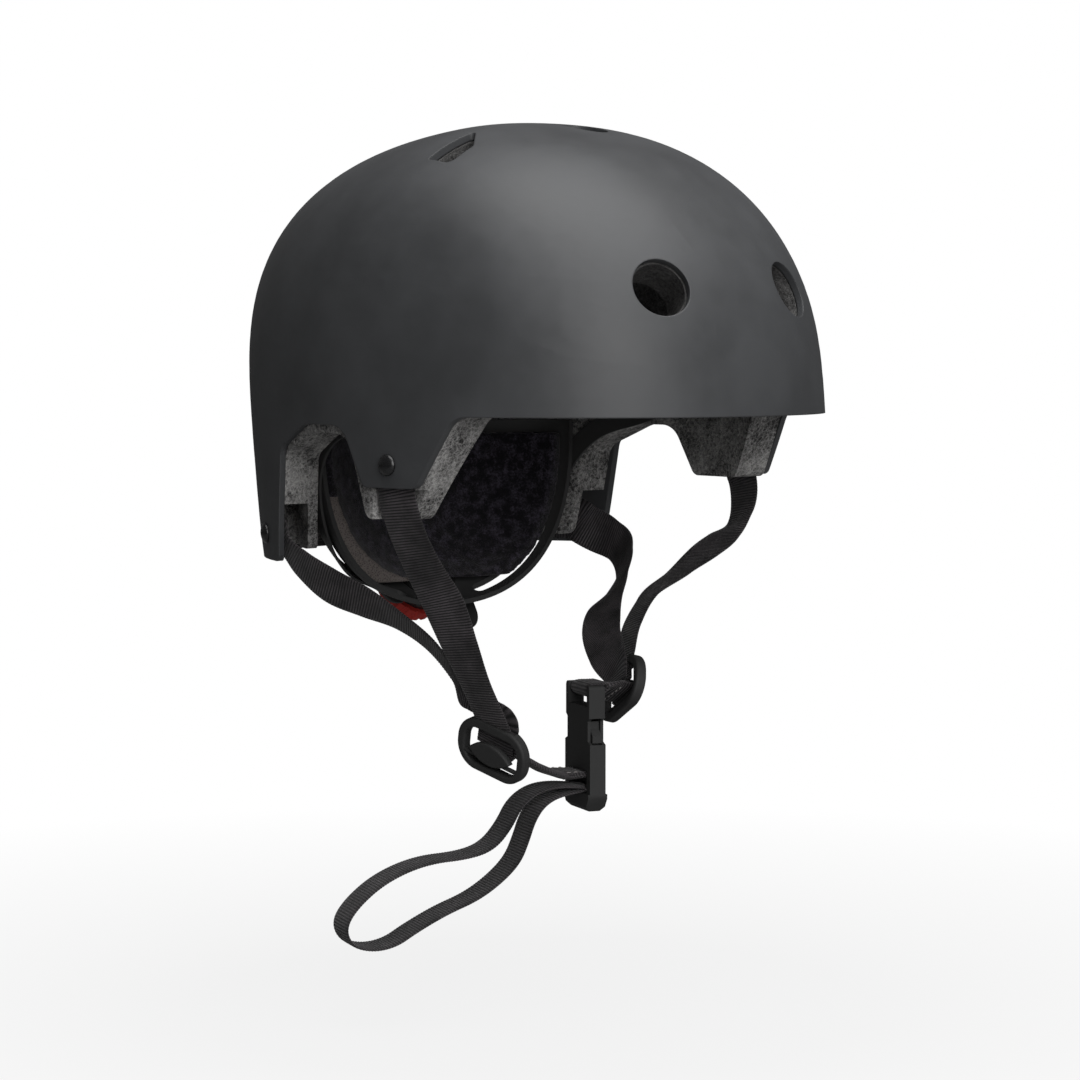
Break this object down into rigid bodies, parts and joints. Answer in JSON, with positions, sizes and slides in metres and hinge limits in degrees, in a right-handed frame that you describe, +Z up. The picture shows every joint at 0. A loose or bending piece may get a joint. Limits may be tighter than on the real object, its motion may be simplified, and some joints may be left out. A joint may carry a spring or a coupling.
{
  "type": "skateboard helmet",
  "caption": "Round hard-shell helmet with vents, side tabs, foam liner, rear cradle with fit dial, and webbing straps that meet in dividers and a side-release chin buckle.",
  "frame": {"origin": "centre of the head opening, on the plane of the brim", "axes": "+Z up, -Y towards the front of the helmet, +X towards the wearer's left"},
  "size_m": [0.2232, 0.2748, 0.356],
  "materials": {
    "shell_plastic": "matte with a fine grain",
    "liner_foam": "moulded bead foam",
    "pad_fleece": "short fleece over soft foam",
    "rivet_metal": "black lacquer",
    "washer_metal": "plain",
    "webbing": "ribbed weave",
    "fitting_plastic": "satin moulding",
    "buckle_plastic": "satin moulding",
    "cradle_plastic": "satin moulding",
    "housing_plastic": "polished moulding",
    "knob_plastic": "satin moulding"
  },
  "bodies": {
    "helmet": {"outer_shell": "shell_plastic", "foam_liner": "liner_foam", "brow_pad": "pad_fleece", "crown_pad": "pad_fleece", "left_temple_pad": "pad_fleece", "right_temple_pad": "pad_fleece", "shell_rivets": "rivet_metal", "rivet_washers": "washer_metal", "left_front_strap": "webbing", "left_rear_strap": "webbing", "right_front_strap": "webbing", "right_rear_strap": "webbing", "left_chin_strap": "webbing", "right_chin_strap": "webbing", "left_divider": "fitting_plastic", "right_divider": "fitting_plastic", "buckle_female": "buckle_plastic", "temple_pins": "fitting_plastic"},
    "cradle": {"cradle_yoke": "cradle_plastic", "cradle_pad": "pad_fleece", "dial_housing": "housing_plastic"},
    "left_belt_body": {"left_belt": "cradle_plastic"},
    "right_belt_body": {"right_belt": "cradle_plastic"},
    "dial": {"dial_knob": "knob_plastic", "dial_pinion": "housing_plastic", "dial_screw": "rivet_metal"},
    "buckle_plug": {"buckle_male": "buckle_plastic", "tail_loop": "webbing"},
    "arm_left": {"release_arm_left": "buckle_plastic"},
    "arm_right": {"release_arm_right": "buckle_plastic"},
    "left_lever": {"left_divider_lever": "fitting_plastic"},
    "right_lever": {"right_divider_lever": "fitting_plastic"}
  },
  "joints": [
    {"name": "cradle_tilt", "type": "hinge", "parent": "helmet", "child": "cradle", "pos_m": [0, -0.01, 0.004], "axis": [1, 0, 0], "range_deg": [0, 7]},
    {"name": "dial_turn", "type": "hinge", "parent": "cradle", "child": "dial", "pos_m": [0, 0.072, -0.075], "axis": [0, -0.8712, 0.4909], "range_deg": [0, 150]},
    {"name": "left_belt_slide", "type": "slide", "parent": "cradle", "child": "left_belt_body", "axis": [-1, 0, 0], "range_m": [0, 0.0118], "deforming": ["left_belt"]},
    {"name": "right_belt_slide", "type": "slide", "parent": "cradle", "child": "right_belt_body", "axis": [1, 0, 0], "range_m": [0, 0.0118], "deforming": ["right_belt"]},
    {"name": "buckle_release", "type": "slide", "parent": "helmet", "child": "buckle_plug", "axis": [0, 0, -1], "range_m": [0, 0.024], "deforming": ["right_chin_strap", "release_arm_left", "release_arm_right"]},
    {"name": "release_arm_left_bend", "type": "hinge", "parent": "buckle_plug", "child": "arm_left", "pos_m": [0.00346, -0.02237, -0.15675], "axis": [0.9281, -0.3724, 0], "range_deg": [0, 13], "stiffness_Nm_per_rad": 0.3},
    {"name": "release_arm_right_bend", "type": "hinge", "parent": "buckle_plug", "child": "arm_right", "pos_m": [-0.00346, -0.03963, -0.15675], "axis": [-0.9281, 0.3724, 0], "range_deg": [0, 13], "stiffness_Nm_per_rad": 0.3},
    {"name": "left_lever_open", "type": "hinge", "parent": "helmet", "child": "left_lever", "pos_m": [0.01654, -0.03895, -0.12849], "axis": [0.2091, 0.8496, -0.4842], "range_deg": [0, 75]},
    {"name": "right_lever_open", "type": "hinge", "parent": "helmet", "child": "right_lever", "pos_m": [-0.05135, -0.02556, -0.15093], "axis": [0.1462, -0.9469, -0.2865], "range_deg": [0, 75]}
  ],
  "couplings": [
    {"joint": "left_belt_slide", "follows": "dial_turn", "m_per_rad": 0.0045},
    {"joint": "right_belt_slide", "follows": "dial_turn", "m_per_rad": 0.0045}
  ]
}
